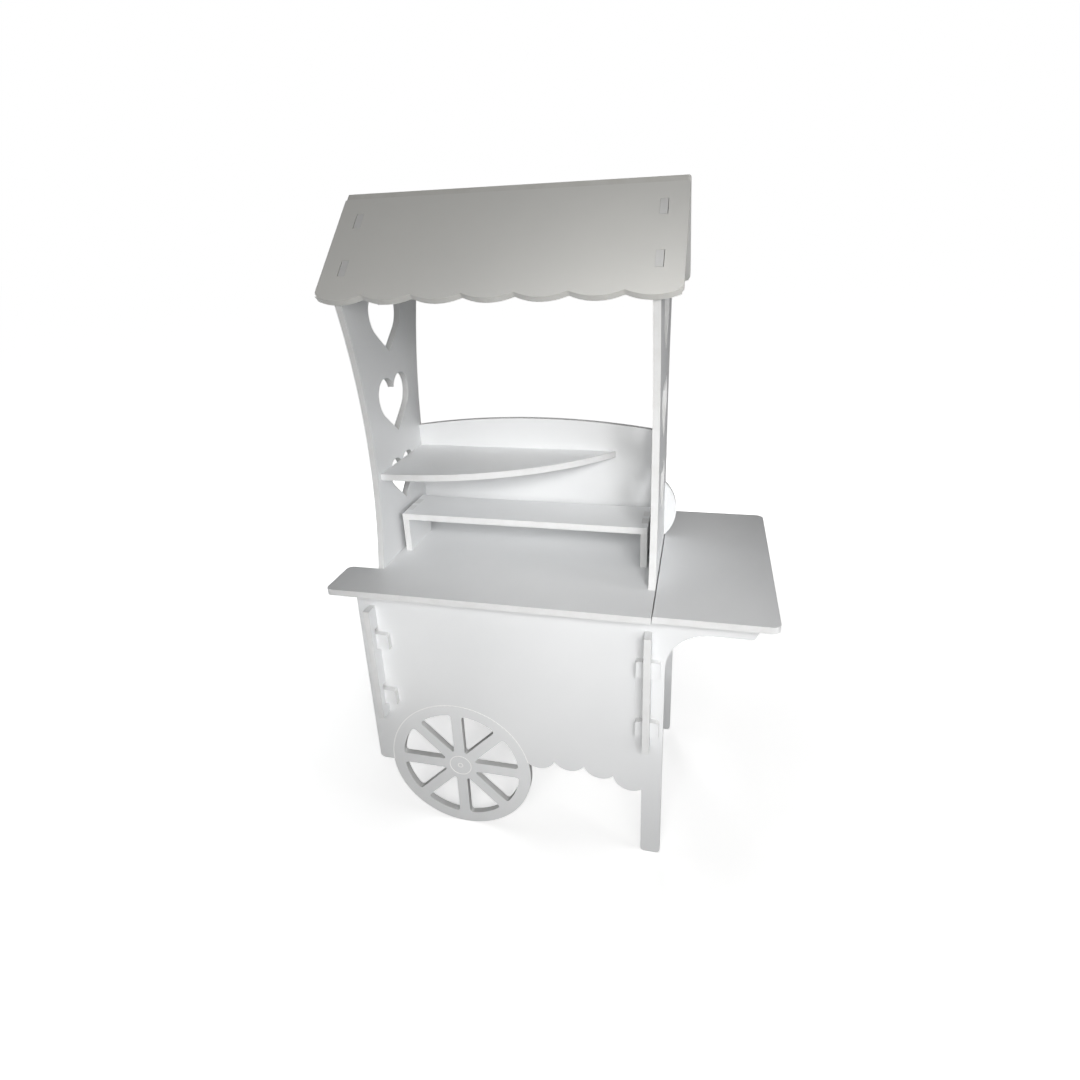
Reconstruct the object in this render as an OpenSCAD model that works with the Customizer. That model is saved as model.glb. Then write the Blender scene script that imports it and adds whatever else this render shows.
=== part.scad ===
// Candy cart: a slot-together serving cart in painted board, with a gabled roof, a back rail,
// a corner shelf, a riser, a side shelf and a body whose front and back carry a spoked wheel.
// Millimetres. X runs to the right, Y to the back, Z up, and the cart stands on Z = 0.
// Front and back follow one outline, so whatever is worked out for one serves the other.

/* [Boards] */
// Thickness of every board
board = 18; // [12:1:22]
// Clearance between a piece and the slot that holds it
fit = 0.3; // [0.1:0.1:0.5]

/* [Overall] */
// Height of the roof ridge above the floor
total_h = 1800; // [1720:10:1900]
// Width over the outer faces of the two end panels
body_w = 780; // [720:10:860]
// Depth over the outer faces of the front and back panels
body_d = 542; // [500:2:600]
// Height of the counter's top face
counter_z = 815; // [780:5:860]

/* [Front and back panels] */
// How far each panel reaches beyond the end panels' outer faces
panel_out = 34; // [26:1:60]
// Height of the panel's low corner beside the wheel
low_z = 204; // [150:2:260]
// Radius of that corner
low_r = 14; // [4:1:24]
// Width of the leg at the right
leg_w = 55; // [40:1:80]
// Radius of the leg's foot corners
foot_r = 12; // [4:1:18]

/* [Wheel] */
// Outer radius of the wheel, which stands on the floor
wheel_r = 216; // [190:1:235]
// Distance of the wheel's centre from the panel's left edge
wheel_in = 259; // [240:1:280]
// Width of the rim
rim_w = 36; // [30:1:60]
// Number of spokes
spokes = 8; // [5:1:10]
// Width of a spoke
spoke_w = 33; // [20:1:38]
// Radius of the corners at the rim in each opening between spokes
spoke_rim_r = 9; // [4:1:14]
// Radius of the corner at the hub in each opening between spokes
spoke_hub_r = 5; // [3:1:8]
// Radius of the ring cut round the hub
hub_ring_r = 33; // [24:1:40]
// Radius of the ring cut round the centre
pin_ring_r = 7; // [5:1:12]
// Width of the decorative ring cuts
ring_w = 3; // [2:0.5:4]
// Depth of the decorative ring cuts
ring_d = 1; // [0.5:0.5:4]
// Distance from the wheel's outline to the ring cut that continues it across the panel
ring_in = 0.5; // [0.5:0.5:4]

/* [Scalloped arch] */
// Radius of the arch that the scallops hang from
arch_r = 444; // [400:2:520]
// Distance from the arch's centre line to the inner side of the leg
arch_in = 216; // [190:2:240]
// Height of the arch at its centre line
arch_z = 282; // [260:2:320]
// Radius of each scallop
scallop_r = 50; // [46:1:60]
// Angle from one scallop to the next, seen from the arch's centre
scallop_step = 11; // [10:0.2:11.4]
// Number of scallops
scallops = 4; // [3:1:4]
// Depth of each scallop below the line of its cusps
scallop_drop = 25; // [18:1:30]

/* [Wing] */
// Distance from the wing's end to the side shelf's outer edge
wing_in = 29; // [10:1:50]
// Height of the wing's outer part
wing_h = 54; // [40:1:80]
// Radius of the curve between the wing and the leg
wing_r = 109; // [60:1:120]
// How far the wing's end leans out
wing_lean = 24; // [10:1:40]
// Radius of the wing's lower end corner
wing_tip_r = 10; // [5:1:16]

/* [Ribs and keys] */
// How far each rib stands out of the panel
rib_out = 37; // [30:1:50]
// Height of the ribs' lower end
rib_low_z = 384; // [340:2:420]
// Distance from the counter's top face down to the ribs' upper end
rib_top_down = 75; // [65:1:115]
// Length of a key
key_l = 62; // [50:1:76]
// Height of a key
key_h = 48; // [36:1:60]
// Thickness of a key
key_t = 17.5; // [12:0.5:20]
// Radius of a key's upper corners
key_r = 7; // [3:1:12]
// Distance from the ribs' lower end up to the lower keys
key_low_up = 40; // [20:1:60]
// Distance from the ribs' upper end down to the upper keys' bottom edge
key_high_down = 129; // [100:1:150]
// Free space above each key in its slot
key_gap = 16; // [6:1:24]
// How far the left keys stand in from their rib
key_left_in = 36; // [10:1:40]
// How far the right keys stand in from their rib
key_right_in = 21; // [10:1:40]

/* [End panels] */
// Height of the end panels' lower edge
end_low_z = 240; // [210:5:330]
// How far the end panels rise above the counter
stub_h = 96; // [80:2:120]
// Width of the tongue that joins each upright to its end panel
tongue_w = 28; // [20:1:60]
// Length of that tongue
tongue_h = 21; // [12:1:40]
// Radius of the relief holes at the tongue's corners
relief_r = 3; // [2:0.5:4]

/* [Counter] */
// Overhang of the counter in front of the front panel and behind the back panel
counter_over = 58; // [44:1:80]
// Overhang of the counter's left ears beyond the left end panel
ear_out = 89; // [60:1:110]
// Radius of the ears' corners
ear_r = 17; // [6:1:30]

/* [Side shelf] */
// Gap between the counter and the side shelf
seam = 3; // [1:0.5:5]
// Width of the side shelf
side_w = 296; // [250:2:330]
// Depth of the side shelf
side_d = 668; // [620:2:700]
// How far the side shelf's front edge lies behind the counter's
side_back = 7; // [0:1:20]
// Radius of the side shelf's outer corners
side_r = 22; // [8:1:40]

/* [Uprights] */
// Depth of an upright where it passes the counter
base_d = 390; // [350:2:400]
// Depth of an upright at its waist
waist_d = 317; // [300:1:330]
// Height of the waist above the counter
waist_up = 300; // [270:5:340]

/* [Hearts] */
// Width of the lowest heart
heart_low_w = 158; // [110:2:170]
// Height of the lowest heart
heart_low_h = 135; // [110:1:145]
// Radius of the curve from the lowest heart's straight sides into its lobes
heart_low_r = 42; // [41:1:60]
// Height of the lowest heart's tip above the counter
heart_low_up = 144; // [125:1:175]
// Width of each larger heart
heart_w = 188; // [140:2:200]
// Height of each larger heart from tip to lobes
heart_h = 161; // [130:1:180]
// Radius of the curve from a larger heart's straight sides into its lobes
heart_r = 74; // [50:1:80]
// Distance from the roof ridge down to the highest heart's tip
heart_high_down = 405; // [380:1:430]
// Distance from the highest heart down to the next
heart_step = 227; // [200:1:260]
// Least board left above the lowest heart before another heart is cut
heart_web = 30; // [20:1:60]
// Overlap of a heart's two lobes
lobe_over = 2; // [1:0.5:6]

/* [Backboard] */
// Distance from the uprights' rear edge at the waist to the backboard's front face
back_in = 16.5; // [10:0.5:24]
// Height of the backboard's top at its middle, above the counter
back_mid_up = 358; // [340:1:420]
// Rise of the backboard's top edge from its ends to its middle
back_rise = 29; // [15:1:50]
// Height of the ears' lower end above the counter
back_ear_low_up = 5; // [3:1:25]
// Height of the ears' upper end above the counter
back_ear_top_up = 173; // [145:1:195]
// How far the ears stand out of the uprights
back_ear_out = 34; // [20:1:45]

/* [Corner shelf] */
// Height of the corner shelf's top face above the counter
corner_up = 265; // [245:1:285]
// Depth of the corner shelf along the left upright
corner_d = 281; // [240:1:290]
// Radius of its curved front edge
corner_r = 755; // [680:5:800]
// Length of the straight stretch before the curve starts
corner_flat = 28; // [10:1:60]
// Width of the tabs that hold the corner shelf
tab_w = 36; // [20:1:50]
// Distance from the shelf's front edge to the tab in the left upright
tab_side_in = 18; // [12:1:40]
// Distance from the left upright to the first tab in the backboard
tab_1_in = 72; // [40:1:110]
// Distance from the left upright to the second tab in the backboard
tab_2_in = 288; // [240:1:340]

/* [Riser] */
// Height of the riser's top face above the counter
riser_h = 118; // [90:1:135]
// Gap between the riser and each upright
riser_gap = 15; // [4:1:60]
// Depth of the riser
riser_d = 150; // [120:2:200]
// Distance from the middle of the cart to the riser's front edge
riser_front = 70; // [40:1:100]
// Width of each finger that joins a riser leg to the top
finger_w = 34; // [20:1:40]
// Distance between the middles of the two fingers
finger_step = 50; // [44:1:70]

/* [Roof] */
// Overhang of the roof beyond each upright
roof_out = 47.5; // [40:0.5:100]
// Length of each roof board down its slope, to the foot of the scallops
slope_l = 346; // [340:1:380]
// Number of scallops along the eaves
eave_scallops = 7; // [5:1:9]
// Depth of the eaves' scallops
eave_drop = 16; // [8:1:24]
// Radius of the corners at the ridge
ridge_r = 7; // [3:1:16]
// Radius of the corners at the eaves
eave_r = 14; // [5:1:30]
// Distance from the ridge down the slope to the middle of the upper roof tenons
tenon_high_s = 94; // [80:1:120]
// Distance from the ridge down the slope to the middle of the lower roof tenons
tenon_low_s = 247; // [200:1:260]
// Width of each roof tenon
tenon_w = 47; // [30:1:60]
// Free space between a tenon and the outer side of its slot in the roof
slot_out = 1.5; // [1:0.5:8]
// Free space at each end of a tenon in its slot in the roof
slot_end = 1; // [0.5:0.5:5]

/* [Hidden] */
$fn = 180;
long_fn = 720;            // for the flattest arcs
paint = "white";
big = 3000;               // larger than the whole cart
over = 1;                 // how far a cut runs past what it cuts
eps = 0.01;

end_x = body_w / 2;                       // outer face of an end panel or upright
end_in = end_x - board;                   // its inner face
face_y = body_d / 2;                      // outer face of the front or back panel
under_z = counter_z - board;              // underside of the counter and the side shelf
stub_z = counter_z + stub_h;              // where the uprights stand on the end panels
half_base = base_d / 2;
half_waist = waist_d / 2;
waist_z = counter_z + waist_up;
edge_r = (pow(waist_z - under_z, 2) + pow(half_base - half_waist, 2)) / (2 * (half_base - half_waist));
gable_z = total_h - board * sqrt(2);      // the uprights' peak, under the roof boards
heart_low_z = counter_z + heart_low_up;   // tips of the lowest and the highest heart
heart_high_z = total_h - heart_high_down;
panel_x = end_x + panel_out;
leg_in = panel_x - leg_w;
wheel_x = -panel_x + wheel_in;
opening_r = wheel_r - rim_w;
arch_x = leg_in - arch_in;
arch_end = asin(arch_in / arch_r);        // angle of the last cusp, at the leg
scallop_mid = arch_r * cos(scallop_step / 2) - scallop_drop + scallop_r;
counter_front = face_y + counter_over;
side_x = end_x + seam;                    // left edge of the side shelf
side_front = -counter_front + side_back;
left_x = -end_x - ear_out;                // the cart's furthest point to the left
right_x = side_x + side_w;
rear_y = max(counter_front, side_front + side_d);
middle_x = (left_x + right_x) / 2;
middle_y = (rear_y - counter_front) / 2;
wing_out = right_x - wing_in - panel_x;   // reach of the wing beyond the panel
rib_top_z = counter_z - rib_top_down;
key_low_z = rib_low_z + key_low_up;
key_high_z = rib_top_z - key_high_down;
key_slot_h = key_h + key_gap;
key_left_x = -end_in + key_left_in - key_l;
key_right_x = end_in - key_right_in;
back_y = half_waist - back_in;            // front face of the backboard
back_mid_z = counter_z + back_mid_up;
back_ear_low_z = counter_z + back_ear_low_up;
back_ear_top_z = counter_z + back_ear_top_up;
corner_z = counter_z + corner_up;
corner_front = back_y - corner_d;
riser_w = 2 * (end_in - riser_gap);
roof_w = body_w + 2 * roof_out;
tenon_s = [tenon_high_s, tenon_low_s];

function half_depth(z) = half_waist + edge_r - sqrt(pow(edge_r, 2) - pow(z - waist_z, 2));
function polar(r, a) = [r * cos(a), r * sin(a)];

// Puts the origin on the floor under the middle of the cart's box
module placed() {
    translate([-middle_x, -middle_y, 0]) color(paint) children();
}

// A board that stands across the cart: drawn as X and Z, its front face at y
module across(y, thick = board) {
    translate([0, y + thick, 0]) rotate([90, 0, 0]) linear_extrude(thick) children();
}

// A board that stands along the cart's depth: drawn as Y and Z, its left face at x
module along(x) {
    translate([x, 0, 0]) rotate([90, 0, 90]) linear_extrude(board) children();
}

// A board that lies flat: drawn as X and Y, its top face at z
module flat(z) {
    translate([0, 0, z - board]) linear_extrude(board) children();
}

// What a square corner loses when it is rounded; the corner is at the origin, the board towards +X +Y
module corner_loss(r) {
    difference() {
        translate([-over, -over]) square(r + over);
        translate([r, r]) circle(r);
    }
}

// A slot of width w and height h, with clearance all round
module slot(x, y, w, h) {
    translate([x - fit, y - fit]) square([w + 2 * fit, h + 2 * fit]);
}

// Opening between two spokes, with its middle line along +X; its corner circles cross its sides
// by a hair and don't just touch them
module spoke_opening() {
    half = 180 / spokes;
    tip = polar((spoke_w / 2 + spoke_hub_r) / sin(half), 0);
    reach = opening_r - spoke_rim_r;
    lean = half - asin((spoke_w / 2 + spoke_rim_r) / reach);
    side = polar(1, half + 90);
    high = polar(reach, lean);
    tip_edge = tip + (spoke_hub_r - eps) * side;
    rim_edge = high + (spoke_rim_r - eps) * side;
    for (s = [-1, 1])
        translate(polar(reach + eps, s * lean)) circle(spoke_rim_r);
    translate(tip) circle(spoke_hub_r);
    polygon([tip, tip_edge, rim_edge, high, [high.x, -high.y], [rim_edge.x, -rim_edge.y],
             [tip_edge.x, -tip_edge.y]]);
    intersection() {
        circle(opening_r);
        polygon([high, 2 * high, [2 * high.x, -2 * high.y], [high.x, -high.y]]);
    }
}

// Board of a panel without its leg, wing and wheel, with the scalloped arch cut into it
module panel_board() {
    difference() {
        translate([-panel_x, low_z]) square([2 * panel_x, under_z - low_z]);
        translate([-panel_x, low_z]) corner_loss(low_r);
        arch();
    }
}

// Outline of the front panel, seen from the front, without its wheel openings
module panel_outline() {
    difference() {
        union() {
            panel_board();
            translate([leg_in, 0]) square([leg_w, under_z]);
            wing_outline();
        }
        translate([leg_in, 0]) corner_loss(foot_r);
        translate([panel_x, 0]) mirror([1, 0]) corner_loss(foot_r);
    }
    translate([wheel_x, wheel_r]) circle(wheel_r);
}

// Space under the panel between the wheel and the leg, with the scallops hanging into it
module arch() {
    centre = [arch_x, arch_z - arch_r];
    first = 90 - arch_end + scallop_step / 2;
    difference() {
        intersection() {
            translate(centre) circle(arch_r);
            translate([wheel_x, low_z - over]) square([leg_in - wheel_x, big]);
        }
        for (i = [0 : scallops - 1])
            translate(centre + polar(scallop_mid, first + i * scallop_step)) circle(scallop_r);
    }
}

// Bracket that carries the side shelf, to the right of the leg
module wing_outline() {
    low = under_z - wing_h;
    difference() {
        translate([panel_x - eps, low - wing_r]) square([wing_out, wing_h + wing_r]);
        translate([panel_x + wing_r, low - wing_r]) circle(wing_r);
        translate([panel_x + wing_r, low - wing_r - over]) square([wing_out, wing_r + over]);
        translate([panel_x + wing_out - wing_lean, low]) wing_tip_loss();
    }
}

// What the wing's end loses: the lean of its end face and the round of its lower corner
module wing_tip_loss() {
    lean = atan(wing_lean / wing_h);
    turn = wing_tip_r * tan((90 - lean) / 2);
    top = wing_h + eps;
    polygon([[0, -over], [wing_lean + over, -over], [wing_lean + over, top], [wing_lean, top], [0, 0]]);
    difference() {
        polygon([[-turn, -over], [0, -over], [0, 0], polar(turn, 90 - lean), [-turn, wing_tip_r]]);
        translate([-turn, wing_tip_r]) circle(wing_tip_r);
    }
}

// Outline of a ring cut round the wheel's centre
module ring(r) {
    translate([wheel_x, wheel_r]) difference() {
        circle(r + ring_w / 2);
        circle(r - ring_w / 2);
    }
}

// Front panel, with the slots for the ribs; the back panel is its mirror image
module wheel_panel() {
    difference() {
        across(-face_y) difference() {
            panel_outline();
            for (i = [0 : spokes - 1])
                translate([wheel_x, wheel_r]) rotate((i + 0.5) * 360 / spokes) spoke_opening();
            for (x = [-end_x, end_in])
                slot(x, rib_low_z, board, rib_top_z - rib_low_z);
        }
        across(-face_y - over, ring_d + over) {
            intersection() {
                ring(wheel_r - ring_in - ring_w / 2);
                panel_board();
            }
            ring(hub_ring_r);
            ring(pin_ring_r);
        }
    }
}

module front_panel() {
    placed() wheel_panel();
}

module back_panel() {
    placed() mirror([0, 1, 0]) wheel_panel();
}

// Outline shared by the uprights and the part of the end panels above the counter
module curved_sides(low, top) {
    difference() {
        translate([-big / 2, low]) square([big, top - low]);
        for (s = [-1, 1])
            translate([s * (half_waist + edge_r), waist_z]) circle(edge_r, $fn = long_fn);
        for (s = [-1, 1]) {
            far = half_depth(low) + half_depth(top);
            translate([s > 0 ? far : -far - big, low - over]) square([big, top - low + 2 * over]);
        }
    }
}

// Notch that takes the backboard from behind
module back_notch() {
    translate([back_y - fit, back_ear_low_z - fit])
        square([big, back_ear_top_z - back_ear_low_z + 2 * fit]);
}

// Tongue of an upright, or with grow the notch for it; it reaches past the joint line
module tongue(grow) {
    translate([-tongue_w / 2 - grow, stub_z - tongue_h - grow])
        square([tongue_w + 2 * grow, tongue_h + grow + over]);
}

// Outline of an end panel: the board between the panels, its ribs, and the stub above the counter
module end_outline() {
    difference() {
        union() {
            translate([-face_y + board, end_low_z]) square([body_d - 2 * board, under_z - end_low_z]);
            translate([-face_y - rib_out, rib_low_z]) square([body_d + 2 * rib_out, rib_top_z - rib_low_z]);
            curved_sides(under_z - eps, stub_z);
        }
        tongue(fit);
        for (s = [-1, 1])
            translate([s * tongue_w / 2, stub_z - tongue_h]) circle(relief_r);
        back_notch();
        for (s = [-1, 1], z = [key_low_z, key_high_z])
            translate([s > 0 ? face_y : -face_y - key_t - fit, z]) square([key_t + fit, key_slot_h]);
    }
}

module end_panel_left() {
    placed() along(-end_x) end_outline();
}

module end_panel_right() {
    placed() along(end_in) end_outline();
}

// Heart with its tip at the origin: two lobes over two wide arcs that meet in the tip
module heart(w, h, side_r) {
    lobe = w / 4 + lobe_over / 2;
    lobe_z = h - lobe;
    curve_x = w / 2 - side_r;
    reach = sqrt(pow(curve_x, 2) + pow(lobe_z, 2));     // from the tip to the middle of a side's curve
    lean = atan2(curve_x, lobe_z) + asin(side_r / reach);
    side_l = sqrt(pow(reach, 2) - pow(side_r, 2));
    bend = [side_l * sin(lean), side_l * cos(lean)];    // where a side's straight part ends
    for (s = [-1, 1])
        translate([s * (w / 2 - lobe), lobe_z]) circle(lobe);
    intersection() {
        for (s = [-1, 1])
            translate([s * (curve_x - eps), lobe_z]) circle(side_r + eps);
        translate([-w, 0]) square([2 * w, lobe_z]);
    }
    polygon([[0, 0], bend, [w / 4, lobe_z], [-w / 4, lobe_z], [-bend[0], bend[1]]]);
}

// Rectangle down the roof's slope, from s0 to s1, from the outer face to a depth
module down_slope(front, s0, s1, depth) {
    translate([0, total_h]) rotate(front ? 225 : -45)
        translate([s0, front ? 0 : -depth]) square([s1 - s0, depth]);
}

// Outline of an upright: concave edges, gable, roof tenons, hearts, and the joints at its foot
module upright_outline() {
    difference() {
        union() {
            intersection() {
                curved_sides(stub_z, gable_z + over);
                polygon([[-big, gable_z - big], [0, gable_z], [big, gable_z - big]]);
            }
            tongue(0);
            for (front = [true, false], s = tenon_s)
                down_slope(front, s - tenon_w / 2, s + tenon_w / 2, board + over);
        }
        back_notch();
        translate([0, heart_low_z]) heart(heart_low_w, heart_low_h, heart_low_r);
        for (z = [heart_high_z : -heart_step : heart_low_z + heart_low_h + heart_web])
            translate([0, z]) heart(heart_w, heart_h, heart_r);
    }
}

module upright_left() {
    placed() difference() {
        along(-end_x) upright_outline();
        corner_tab_left(fit);
    }
}

module upright_right() {
    placed() along(end_in) upright_outline();
}

// Counter: it drops between the stubs of the end panels, and its left ears reach past them
module counter() {
    notch = half_depth(under_z) + fit;
    placed() flat(counter_z) difference() {
        translate([left_x, -counter_front]) square([end_x - left_x, 2 * counter_front]);
        translate([left_x - over, -notch]) square([-end_in + fit - left_x + over, 2 * notch]);
        translate([end_in - fit, -notch]) square([board + fit + over, 2 * notch]);
        for (s = [0, 1]) mirror([0, s]) {
            translate([left_x, -counter_front]) corner_loss(ear_r);
            translate([left_x, -notch]) mirror([0, 1]) corner_loss(ear_r);
        }
    }
}

module side_shelf() {
    placed() flat(counter_z) difference() {
        translate([side_x, side_front]) square([side_w, side_d]);
        translate([right_x, side_front]) mirror([1, 0]) corner_loss(side_r);
        translate([right_x, side_front + side_d]) mirror([1, 0]) mirror([0, 1]) corner_loss(side_r);
    }
}

// Backboard: arched top, and round ears that pass the uprights
module backboard() {
    half = end_in - fit;
    top_r = (pow(half, 2) + pow(back_rise, 2)) / (2 * back_rise);
    ear_half = (back_ear_top_z - back_ear_low_z) / 2;
    ear_mid_z = back_ear_low_z + ear_half;
    ear_arc_r = (pow(ear_half, 2) + pow(back_ear_out, 2)) / (2 * back_ear_out);
    placed() difference() {
        across(back_y) union() {
            intersection() {
                translate([-half, counter_z]) square([2 * half, back_mid_z - counter_z]);
                translate([0, back_mid_z - top_r]) circle(top_r, $fn = long_fn);
            }
            for (s = [0, 1]) mirror([s, 0]) {
                translate([half - eps, back_ear_low_z]) square([end_x - half + 2 * eps, 2 * ear_half]);
                intersection() {
                    translate([end_x + back_ear_out - ear_arc_r, ear_mid_z]) circle(ear_arc_r);
                    translate([end_x, back_ear_low_z]) square([back_ear_out + over, 2 * ear_half]);
                }
            }
        }
        corner_tabs_back(fit);
    }
}

// Tab of the corner shelf in the left upright, or with grow the slot for it
module corner_tab_left(grow) {
    translate([-end_x - grow, corner_front + tab_side_in - grow, corner_z - board - grow])
        cube([board + over, tab_w + 2 * grow, board + 2 * grow]);
}

// Tabs of the corner shelf in the backboard, or with grow the slots for them
module corner_tabs_back(grow) {
    for (x = [tab_1_in, tab_2_in])
        translate([-end_in + x - grow, back_y - over, corner_z - board - grow])
            cube([tab_w + 2 * grow, board + over + grow, board + 2 * grow]);
}

module corner_shelf() {
    placed() {
        flat(corner_z) intersection() {
            translate([-end_in, corner_front]) square([2 * end_in, corner_d]);
            union() {
                translate([-end_in + corner_flat, corner_front + corner_r]) circle(corner_r, $fn = long_fn);
                translate([-end_in, corner_front]) square([corner_flat + over, corner_d]);
            }
        }
        corner_tab_left(0);
        corner_tabs_back(0);
    }
}

// Places of the fingers along a riser leg
function finger_y(i) = -riser_front + riser_d / 2 + (i - 0.5) * finger_step - finger_w / 2;

module riser_top() {
    placed() flat(counter_z + riser_h) difference() {
        translate([-riser_w / 2, -riser_front]) square([riser_w, riser_d]);
        for (s = [0, 1], i = [0, 1])
            mirror([s, 0]) slot(riser_w / 2 - board, finger_y(i), board + over, finger_w);
    }
}

module riser_leg(x) {
    placed() along(x) {
        translate([-riser_front, counter_z]) square([riser_d, riser_h - board]);
        for (i = [0, 1])
            translate([finger_y(i), counter_z]) square([finger_w, riser_h]);
    }
}

module riser_leg_left() {
    riser_leg(-riser_w / 2);
}

module riser_leg_right() {
    riser_leg(riser_w / 2 - board);
}

// Roof board, drawn flat with the ridge along X and the slope towards -Y, its outer face up
module roof_board(top_s) {
    pitch = roof_w / eave_scallops;
    scallop = (pow(pitch / 2, 2) + pow(eave_drop, 2)) / (2 * eave_drop);
    cusp_s = slope_l - eave_drop + over;
    translate([0, 0, total_h]) rotate([45, 0, 0]) translate([0, 0, -board])
    linear_extrude(board) difference() {
        union() {
            translate([-roof_w / 2, -cusp_s]) square([roof_w, cusp_s - top_s]);
            intersection() {
                for (i = [0 : eave_scallops - 1])
                    translate([(i + 0.5) * pitch - roof_w / 2, -slope_l + scallop]) circle(scallop);
                translate([-roof_w / 2, -slope_l - over]) square([roof_w, eave_drop + over + eps]);
            }
        }
        for (s = [0, 1]) mirror([s, 0]) {
            translate([-roof_w / 2, -top_s]) mirror([0, 1]) corner_loss(ridge_r);
            translate([-roof_w / 2, -cusp_s]) corner_loss(eave_r);
        }
        for (x = [-end_x - slot_out, end_in - fit], s = tenon_s)
            translate([x, -s - tenon_w / 2 - slot_end])
                square([board + fit + slot_out, tenon_w + 2 * slot_end]);
    }
}

// The front roof board ends under the back one, which covers its upper edge
module roof_front() {
    placed() roof_board(board);
}

module roof_back() {
    placed() mirror([0, 1, 0]) roof_board(0);
}

// Key through a rib, flat on the panel's outer face; x is its left end
module key(x, z) {
    across(-face_y - key_t, key_t) translate([x, z]) difference() {
        square([key_l, key_h]);
        translate([0, key_h]) mirror([0, 1]) corner_loss(key_r);
        translate([key_l, key_h]) mirror([1, 0]) mirror([0, 1]) corner_loss(key_r);
    }
}

module key_front_left_low() {
    placed() key(key_left_x, key_low_z);
}

module key_front_left_high() {
    placed() key(key_left_x, key_high_z);
}

module key_front_right_low() {
    placed() key(key_right_x, key_low_z);
}

module key_front_right_high() {
    placed() key(key_right_x, key_high_z);
}

module key_back_left_low() {
    placed() mirror([0, 1, 0]) key(key_left_x, key_low_z);
}

module key_back_left_high() {
    placed() mirror([0, 1, 0]) key(key_left_x, key_high_z);
}

module key_back_right_low() {
    placed() mirror([0, 1, 0]) key(key_right_x, key_low_z);
}

module key_back_right_high() {
    placed() mirror([0, 1, 0]) key(key_right_x, key_high_z);
}

front_panel();
back_panel();
end_panel_left();
end_panel_right();
counter();
side_shelf();
upright_left();
upright_right();
backboard();
corner_shelf();
riser_top();
riser_leg_left();
riser_leg_right();
roof_front();
roof_back();
key_front_left_low();
key_front_left_high();
key_front_right_low();
key_front_right_high();
key_back_left_low();
key_back_left_high();
key_back_right_low();
key_back_right_high();
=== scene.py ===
"""White candy cart: finish, floor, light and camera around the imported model."""

from math import cos, radians, sin

import bpy
from mathutils import Matrix, Vector

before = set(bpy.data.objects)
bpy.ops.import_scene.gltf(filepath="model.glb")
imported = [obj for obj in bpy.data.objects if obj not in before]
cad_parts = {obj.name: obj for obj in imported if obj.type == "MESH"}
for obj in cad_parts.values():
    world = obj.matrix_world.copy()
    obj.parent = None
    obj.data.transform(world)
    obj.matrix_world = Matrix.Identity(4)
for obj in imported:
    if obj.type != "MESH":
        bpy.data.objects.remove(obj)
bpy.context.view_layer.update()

# Camera, in metres and degrees, in the cart's frame
CAMERA_AT = (0.3845, -1.7335, 1.6792)
CAMERA_YAW = 14.21          # turned from +Y towards -X
CAMERA_PITCH = 20.61        # looking down
CAMERA_ROLL = 2.37
FOCAL_PX = 666.41
CENTRE_PX = (542.44, 487.29)
IMAGE_PX = 1080
SENSOR_MM = 36.0

# Rounding of every board's arrises, in metres
ARRIS = 0.0012

# Direction of each board's thickness, where it isn't Y
SLOPE = 0.70710678
THICKNESS = {
    "end_panel_left": (1, 0, 0), "end_panel_right": (1, 0, 0),
    "upright_left": (1, 0, 0), "upright_right": (1, 0, 0),
    "riser_leg_left": (1, 0, 0), "riser_leg_right": (1, 0, 0),
    "counter": (0, 0, 1), "side_shelf": (0, 0, 1), "corner_shelf": (0, 0, 1), "riser_top": (0, 0, 1),
    "roof_front": (0, -SLOPE, SLOPE), "roof_back": (0, SLOPE, SLOPE),
}

# Paint: the film, its thinner patches, its look on a cut edge (greyer fibre, darkened further as painted
# shade), on a rubbed arris, and a painted highlight in a ring cut, brighter than the film
WHITE = (0.80, 0.808, 0.815)
SHADE = (0.765, 0.775, 0.785)
FIBRE_AND_SHADE = (0.70, 0.70, 0.695)
RUBBED = (0.60, 0.575, 0.53)
GROOVE_HIGHLIGHT = (0.97, 0.97, 0.965, 1)
PAINT_IOR = 1.47

# How squarely a surface faces along its board's thickness: where a cut edge passes into the arris, and
# where the arris passes into a face
EDGE_FACING = (0.1, 0.35)
FACE_FACING = (0.9, 0.98)

# Roughness of the film from its smoothest to its roughest, and what a cut edge adds
ROUGH = (0.36, 0.46)
EDGE_ROUGH = 0.12

# Strength of the roller's stipple, and its height in metres
STIPPLE = (0.12, 0.0008)

# Tone of each board's coat, painted light on boards that share one white paint: the roof's is warmer and
# a little darker, a painted shade, and the riser's brighter, a painted highlight for light from above
PLAIN = (1.0, 1.0, 1.0)
PAINTED_LIGHT_TONES = {"roof_front": (0.985, 0.975, 0.94), "roof_back": (0.985, 0.975, 0.94),
         "riser_top": (1.07, 1.07, 1.07)}

# Ring cuts of the wheels: centre as X and Z, radii, half a cut's width, and the panels' outer faces
WHEEL_AT = (-0.270, 0.216)
RINGS = (0.2140, 0.0330, 0.0070)
RING_HALF = 0.0016
MIDDLE_Y = -0.0085
PANEL_FACE = 0.271
FLUSH = 0.0001              # depth up to which a surface counts as the outer face

# The floor: its side in metres, its paper's two shades, and its roughness
FLOOR_SIZE = 80
PAPERS = ((0.90, 0.90, 0.90, 1), (0.88, 0.88, 0.88, 1))
PAPER_ROUGH = 0.85

# The floor's own light: near and far distance from the cart, and its strength there
FLOOR_GLOW = (0.6, 2.4, 0.5, 1.0)

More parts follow.
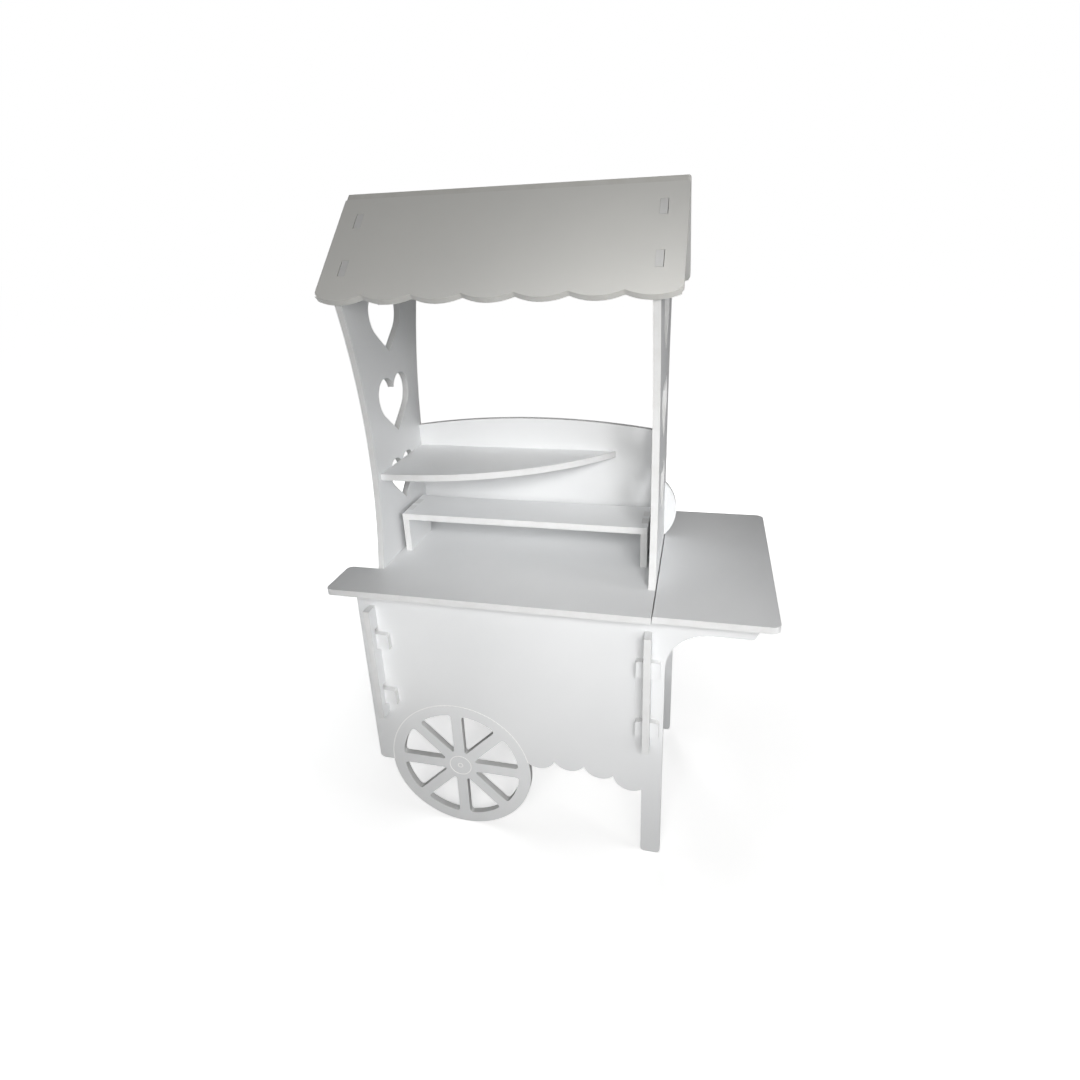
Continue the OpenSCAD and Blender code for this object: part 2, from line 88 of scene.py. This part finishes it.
# Lights: place, aim, size, watts, colour, and the cone of a spot
LIGHTS = {
    "front_high": ((0.3, -3.4, 2.4), (0, 0, 0.9), 1.6, 55, (1.0, 0.99, 0.97)),
    "front_low": ((0.3, -3.6, 0.6), (0, 0, 0.8), 1.6, 3),
    "right": ((2.4, -2.4, 1.5), (0, 0, 0.9), 1.4, 17),
    "far_right": ((3.2, -0.6, 1.6), (0, 0, 0.9), 1.4, 31),
    "left": ((-3.2, -0.1, 0.7), (0, 0, 0.8), 1.4, 32, (0.97, 0.985, 1.0)),
    "back": ((-0.9, 3.2, 0.8), (-0.2, 0, 0.8), 1.2, 45),
    "lift": ((0.0, -1.2, 0.05), (0, -0.4, 1.0), 1.2, 3.6),
    "inside": ((-0.1, -0.12, 1.45), (-0.1, 0.0, 0.9), 0.4, 0.2),
    "key": ((1.2, -2.4, 2.3), (0.1, 0, 0.75), 0.7, 160, (1, 1, 1), 32),
    "shelves": ((-0.3, -2.2, 1.9), (-0.35, 0, 0.85), 0.7, 43, (0.98, 0.99, 1.0), 22),
    "eaves": ((0.7, -2.0, 2.5), (0.35, -0.3, 1.55), 0.7, 10, (1.0, 0.98, 0.94), 18),
    "roof": ((0.6, -1.2, 1.9), (0.3, -0.35, 1.5), 0.4, 7, (1.0, 0.98, 0.94), 50),
    "wing": ((1.8, -2.2, 1.0), (0.45, -0.3, 0.65), 0.7, 44, (1, 1, 1), 16),
    "left_rib": ((0.1, -1.6, 0.9), (-0.45, -0.35, 0.62), 0.4, 30, (1, 1, 1), 14),
    "upright": ((1.6, -1.2, 1.2), (0.29, 0, 0.95), 0.4, 9, (1, 1, 1), 14),
}


def add_node(tree, kind, inputs=None, **settings):
    """Add a shader node, set its properties, and link or set its inputs."""
    node = tree.nodes.new(kind)
    for name, value in settings.items():
        setattr(node, name, value)
    for name, value in (inputs or {}).items():
        if isinstance(value, bpy.types.NodeSocket):
            tree.links.new(value, node.inputs[name])
        else:
            node.inputs[name].default_value = value
    return node


def math_node(tree, operation, *values):
    """A Math node of two or three values; returns its output."""
    node = tree.nodes.new("ShaderNodeMath")
    node.operation = operation
    for socket, value in zip(node.inputs, values):
        if isinstance(value, bpy.types.NodeSocket):
            tree.links.new(value, socket)
        else:
            socket.default_value = value
    return node.outputs[0]


def spread(tree, value, low, high, to_low, to_high):
    """Map a value from one range to another, clamped."""
    node = add_node(tree, "ShaderNodeMapRange", {"Value": value, "From Min": low, "From Max": high,
                                                 "To Min": to_low, "To Max": to_high})
    return node.outputs["Result"]


def noise(tree, position, scale, detail, rough=0.5):
    """Value of a noise texture at a position."""
    node = add_node(tree, "ShaderNodeTexNoise", {"Vector": position, "Scale": scale, "Detail": detail,
                                                 "Roughness": rough})
    return node.outputs["Fac"]


def mix_colour(tree, factor, first, second):
    """Mix two colours."""
    node = add_node(tree, "ShaderNodeMix", data_type="RGBA")
    sockets = (node.inputs[0], node.inputs[6], node.inputs[7])
    for socket, value in zip(sockets, (factor, first, second)):
        if isinstance(value, bpy.types.NodeSocket):
            tree.links.new(value, socket)
        else:
            socket.default_value = value
    return node.outputs[2]


def tint(colour, painted_tone):
    """A colour under a board's tone, which on the roof and riser is painted light, with its alpha."""
    return tuple(c * t for c, t in zip(colour, painted_tone)) + (1.0,)


def ring_mask(tree, place):
    """1 on the floor and walls of the ring cuts in a wheel panel, 0 elsewhere."""
    axes = add_node(tree, "ShaderNodeSeparateXYZ", {0: place}).outputs
    across = math_node(tree, "SUBTRACT", axes["X"], WHEEL_AT[0])
    up = math_node(tree, "SUBTRACT", axes["Z"], WHEEL_AT[1])
    radius = math_node(tree, "SQRT", math_node(tree, "ADD", math_node(tree, "POWER", across, 2.0),
                                               math_node(tree, "POWER", up, 2.0)))
    depth = math_node(tree, "SUBTRACT", PANEL_FACE, math_node(tree, "ABSOLUTE", math_node(
        tree, "SUBTRACT", axes["Y"], MIDDLE_Y)))
    rings = 0.0
    for ring in RINGS:
        near = math_node(tree, "COMPARE", radius, ring, RING_HALF)
        rings = math_node(tree, "MAXIMUM", rings, near)
    return math_node(tree, "MULTIPLY", rings, math_node(tree, "GREATER_THAN", depth, FLUSH))


def painted_board(name, thickness, painted_tone, has_rings):
    """Satin white paint, rolled on the faces, greyer at the cut edges as fibre and as painted shade,
    rubbed thin on the arrises, with a painted highlight in the ring cuts and the board's painted tone.
    """
    material = bpy.data.materials.new(name)
    material.use_nodes = True
    tree = material.node_tree
    shader = tree.nodes["Principled BSDF"]
    place = add_node(tree, "ShaderNodeTexCoord").outputs["Object"]
    normal = add_node(tree, "ShaderNodeNewGeometry").outputs["True Normal"]

    across = add_node(tree, "ShaderNodeVectorMath", {0: normal, 1: thickness}, operation="DOT_PRODUCT")
    facing = math_node(tree, "ABSOLUTE", across.outputs["Value"])
    edge = spread(tree, facing, *EDGE_FACING, 1.0, 0.0)
    arris = math_node(tree, "MULTIPLY", spread(tree, facing, *EDGE_FACING, 0.0, 1.0),
                      spread(tree, facing, *FACE_FACING, 1.0, 0.0))

    thin = spread(tree, noise(tree, place, 3.0, 3.0), 0.35, 0.7, 0.0, 1.0)
    mottle = spread(tree, noise(tree, place, 26.0, 4.0, 0.6), 0.35, 0.7, 0.35, 0.9)
    speck = spread(tree, noise(tree, place, 120.0, 3.0, 0.6), 0.5, 0.62, 0.0, 0.5)
    colour = mix_colour(tree, thin, tint(WHITE, painted_tone), tint(SHADE, painted_tone))
    # Cut edges take the greyer fibre colour, mottled; part of that grey is painted shade, which dims the
    # cut edges
    colour = mix_colour(tree, math_node(tree, "MULTIPLY", edge, mottle), colour, tint(FIBRE_AND_SHADE, painted_tone))
    colour = mix_colour(tree, math_node(tree, "MULTIPLY", arris, speck), colour, tint(RUBBED, painted_tone))
    # Ring cuts take a brighter colour: a painted highlight standing in for light caught in the cuts,
    # lifting them above their own shade
    if has_rings:
        colour = mix_colour(tree, ring_mask(tree, place), colour, GROOVE_HIGHLIGHT)
    tree.links.new(colour, shader.inputs["Base Color"])

    stipple = math_node(tree, "ADD", noise(tree, place, 320.0, 2.0, 0.6),
                        math_node(tree, "MULTIPLY", noise(tree, place, 900.0, 2.0, 0.6), 0.5))
    sweep = noise(tree, place, 60.0, 3.0)
    rough = math_node(tree, "ADD", spread(tree, sweep, 0.3, 0.7, *ROUGH),
                      math_node(tree, "MULTIPLY", edge, EDGE_ROUGH))
    tree.links.new(rough, shader.inputs["Roughness"])
    bump = add_node(tree, "ShaderNodeBump", {"Height": stipple, "Strength": STIPPLE[0],
                                             "Distance": STIPPLE[1]})
    tree.links.new(bump.outputs["Normal"], shader.inputs["Normal"])
    shader.inputs["IOR"].default_value = PAINT_IOR
    return material


def dress(name):
    """Give a board its paint and its softened arrises."""
    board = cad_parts[name]
    material = painted_board("paint_" + name, THICKNESS.get(name, (0, 1, 0)), PAINTED_LIGHT_TONES.get(name, PLAIN),
                             name in ("front_panel", "back_panel"))
    board.data.materials.clear()
    board.data.materials.append(material)
    rounding = board.modifiers.new("arris", "BEVEL")
    rounding.width = ARRIS
    rounding.segments = 2
    rounding.limit_method = "ANGLE"
    rounding.angle_limit = radians(40)
    rounding.harden_normals = False
    rounding.use_clamp_overlap = True


def add_camera():
    """The photo's camera."""
    yaw, pitch, roll = map(radians, (CAMERA_YAW, CAMERA_PITCH, CAMERA_ROLL))
    ahead = Vector((-sin(yaw) * cos(pitch), cos(yaw) * cos(pitch), -sin(pitch)))
    level = Vector((cos(yaw), sin(yaw), 0))
    down = ahead.cross(level)
    right = cos(roll) * level + sin(roll) * down
    up = -(cos(roll) * down - sin(roll) * level)
    data = bpy.data.cameras.new("camera")
    data.sensor_width = SENSOR_MM
    data.lens = FOCAL_PX / IMAGE_PX * SENSOR_MM
    data.shift_x = (IMAGE_PX / 2 - CENTRE_PX[0]) / IMAGE_PX
    data.shift_y = (CENTRE_PX[1] - IMAGE_PX / 2) / IMAGE_PX
    camera = bpy.data.objects.new("camera", data)
    bpy.context.scene.collection.objects.link(camera)
    turn = Matrix((right, up, -ahead)).transposed().to_4x4()
    camera.matrix_world = Matrix.Translation(CAMERA_AT) @ turn
    bpy.context.scene.camera = camera


def add_light(name, at, towards, size, watts, colour=(1, 1, 1), cone=None):
    """A soft light, shining from one point towards another: a square panel, or a spot with a cone."""
    data = bpy.data.lights.new(name, "SPOT" if cone else "AREA")
    if cone:
        data.spot_size = radians(cone)
        data.spot_blend = 1.0
        data.shadow_soft_size = size / 2
    else:
        data.size = size
    data.energy = watts
    data.color = colour
    light = bpy.data.objects.new(name, data)
    bpy.context.scene.collection.objects.link(light)
    light.location = at
    light.rotation_euler = (Vector(towards) - Vector(at)).to_track_quat("-Z", "Y").to_euler()
    light.visible_camera = False


def add_studio():
    """White paper floor, white surroundings and soft lights."""
    bpy.ops.mesh.primitive_plane_add(size=FLOOR_SIZE, location=(0, 0, 0))
    floor = bpy.context.object
    floor.name = "floor"
    paper = bpy.data.materials.new("floor_paper")
    paper.use_nodes = True
    tree = paper.node_tree
    shader = tree.nodes["Principled BSDF"]
    place = add_node(tree, "ShaderNodeTexCoord").outputs["Object"]
    patchy = spread(tree, noise(tree, place, 1.5, 2.0), 0.3, 0.7, 0.0, 1.0)
    tree.links.new(mix_colour(tree, patchy, *PAPERS), shader.inputs["Base Color"])
    shader.inputs["Roughness"].default_value = PAPER_ROUGH
    away = add_node(tree, "ShaderNodeVectorMath", {0: place}, operation="LENGTH").outputs["Value"]
    tree.links.new(spread(tree, away, *FLOOR_GLOW), shader.inputs["Emission Strength"])
    shader.inputs["Emission Color"].default_value = (1, 1, 1, 1)
    floor.data.materials.append(paper)
    floor.visible_diffuse = False
    floor.visible_glossy = False

    world = bpy.data.worlds.new("sky")
    world.use_nodes = True
    sky = world.node_tree.nodes["Background"]
    sky.inputs["Color"].default_value = (1, 1, 1, 1)
    sky.inputs["Strength"].default_value = 1.0
    world.cycles_visibility.diffuse = False
    world.cycles_visibility.glossy = False
    bpy.context.scene.world = world
    for name, settings in LIGHTS.items():
        add_light(name, *settings)


add_camera()
for node_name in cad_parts:
    dress(node_name)
add_studio()

bpy.context.scene.view_settings.view_transform = "Standard"
